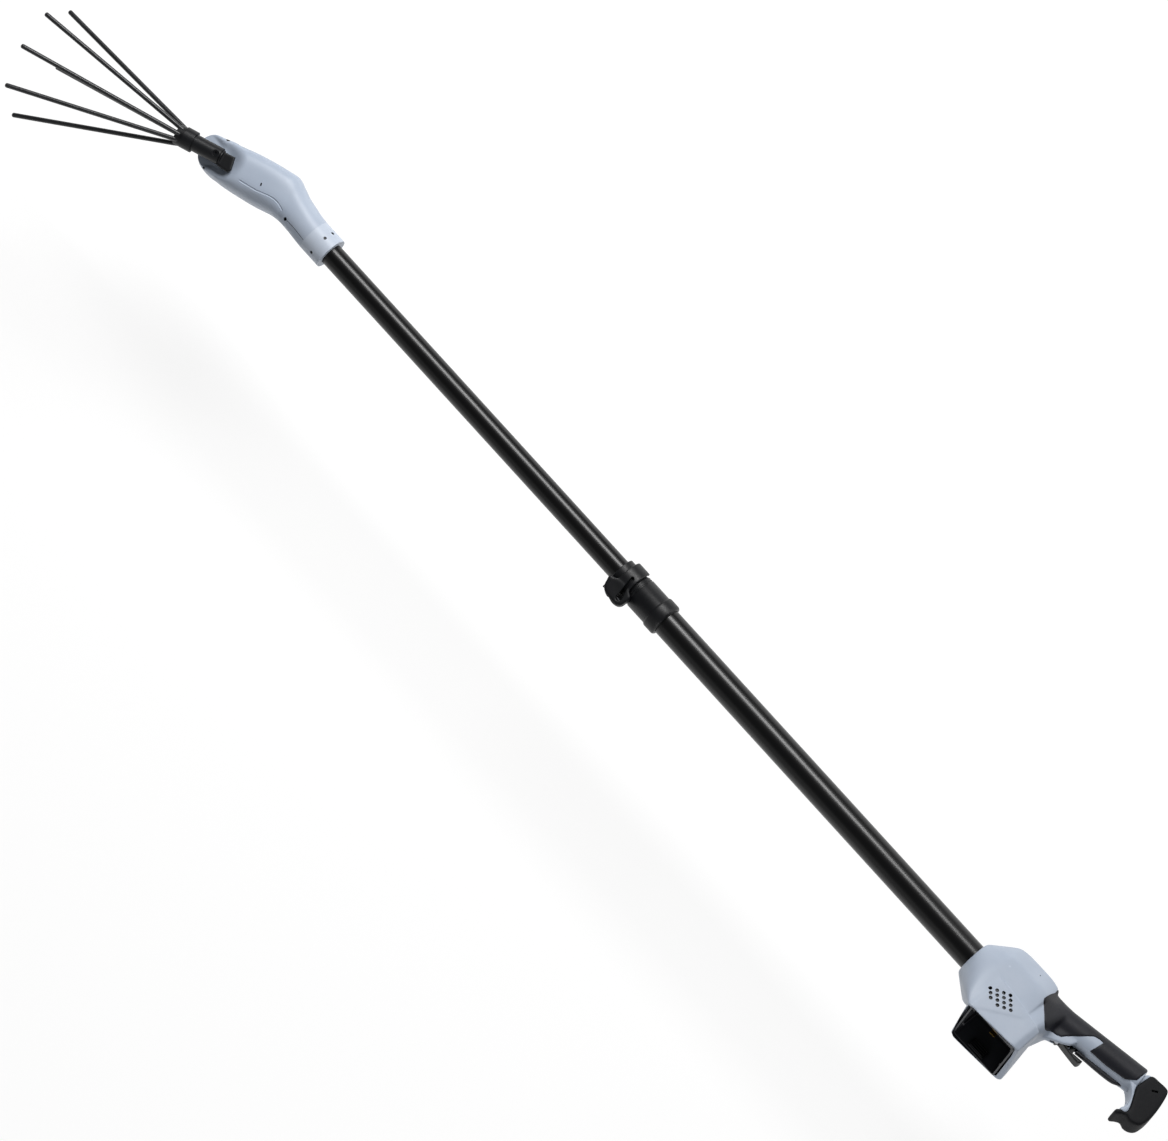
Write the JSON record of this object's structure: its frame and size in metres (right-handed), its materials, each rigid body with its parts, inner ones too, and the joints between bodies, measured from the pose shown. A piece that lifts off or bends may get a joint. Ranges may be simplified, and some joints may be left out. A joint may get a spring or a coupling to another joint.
{
  "type": "electric olive harvester",
  "caption": "Battery olive harvester: swinging rake head with carbon tines on a telescopic pole with grip and empty battery bay.",
  "frame": {"origin": "pole axis where the lower tube enters the power unit", "axes": "+X along the pole towards the grip, +Z along the rake's swing axis, out of the head's front face, +Y to the side away from the trigger"},
  "size_m": [1.8169, 0.2361, 0.1466],
  "materials": {
    "grey_plastic": "satin",
    "black_plastic": "satin",
    "grip_rubber": "matt",
    "black_tube": "gloss",
    "carbon_rod": "satin",
    "white_plastic": "satin",
    "steel": "satin",
    "black_steel": "satin",
    "motor_aluminium": "satin",
    "brass": "satin",
    "lead_rubber": "matt",
    "board_green": "satin"
  },
  "bodies": {
    "power_unit": {"outer_tube": "black_tube", "coiled_lead": "lead_rubber", "clamp_sleeve": "black_plastic", "clamp_bolt": "steel", "clamp_nut": "steel", "lever_pin": "steel", "housing_left": "grey_plastic", "housing_right": "grey_plastic", "housing_screws": "black_steel", "bay_liner": "black_plastic", "terminal_block": "black_plastic", "terminal_blades": "brass", "latch_catch": "black_plastic", "controller_board": "board_green", "trigger_switch": "black_plastic", "grip_top": "grip_rubber", "grip_under": "grip_rubber", "butt_hook": "grip_rubber", "trigger_pin": "steel", "trigger_spring": "steel"},
    "trigger_lever": {"trigger": "black_plastic"},
    "lock_lever": {"clamp_lever": "black_plastic"},
    "pole_bush": {"guide_bush": "white_plastic"},
    "rake_head": {"inner_tube": "black_tube", "straight_lead": "lead_rubber", "lead_grommet": "grip_rubber", "neck_collar": "grey_plastic", "collar_screws": "black_steel", "head_front_shell": "grey_plastic", "head_rear_shell": "grey_plastic", "head_screws": "black_steel", "gear_plate": "steel", "motor_can": "motor_aluminium", "lead_terminal": "white_plastic", "crank_axle": "steel", "front_bearing": "steel", "rear_bearing": "steel", "shaft_seal": "grip_rubber"},
    "motor_shaft": {"motor_rotor": "steel", "motor_pinion": "brass"},
    "crank": {"crank_gear": "steel", "crank_pin": "steel"},
    "drive_rod": {"connecting_rod": "motor_aluminium"},
    "rake": {"output_shaft": "steel", "rocker": "steel", "rake_hub": "black_plastic", "hub_bolt": "black_steel", "hub_tab": "black_plastic", "tine_holder": "black_plastic", "tine_1": "carbon_rod", "tine_2": "carbon_rod", "tine_3": "carbon_rod", "tine_4": "carbon_rod", "tine_5": "carbon_rod", "tine_6": "carbon_rod"}
  },
  "joints": [
    {"name": "trigger_pull", "type": "hinge", "parent": "power_unit", "child": "trigger_lever", "pos_m": [0.134, 0.00816, -0.0038], "axis": [0, 0.4226, 0.9063], "range_deg": [0, 4.5], "stiffness_Nm_per_rad": 1.2, "springref_deg": -5.73},
    {"name": "lock_lever_swing", "type": "hinge", "parent": "power_unit", "child": "lock_lever", "pos_m": [-0.5872, -0.025, 0.014], "axis": [1, 0, 0], "range_deg": [0, 110]},
    {"name": "pole_slide", "type": "slide", "parent": "power_unit", "child": "pole_bush", "axis": [1, 0, 0], "range_m": [0, 0.38], "deforming": ["coiled_lead"]},
    {"name": "pole_twist", "type": "hinge", "parent": "pole_bush", "child": "rake_head", "pos_m": [-0.44, 0, 0], "axis": [1, 0, 0], "range_deg": [-90, 90]},
    {"name": "crank_turn", "type": "hinge", "parent": "rake_head", "child": "crank", "pos_m": [-1.24463, -0.00873, 0], "axis": [0, 0, 1], "continuous": true},
    {"name": "motor_turn", "type": "hinge", "parent": "rake_head", "child": "motor_shaft", "pos_m": [-1.22074, -0.00138, 0], "axis": [0, 0, 1], "continuous": true},
    {"name": "rod_turn", "type": "hinge", "parent": "crank", "child": "drive_rod", "pos_m": [-1.24387, -0.01122, 0], "axis": [0, 0, 1], "continuous": true},
    {"name": "rake_swing", "type": "hinge", "parent": "rake_head", "child": "rake", "pos_m": [-1.28669, -0.02167, 0], "axis": [0, 0, 1], "range_deg": [-12.5, 21.6]}
  ],
  "couplings": [
    {"joint": "motor_turn", "follows": "crank_turn", "ratio": -3.1667},
    {"joint": "rod_turn", "follows": "crank_turn", "ratio": -1}
  ]
}
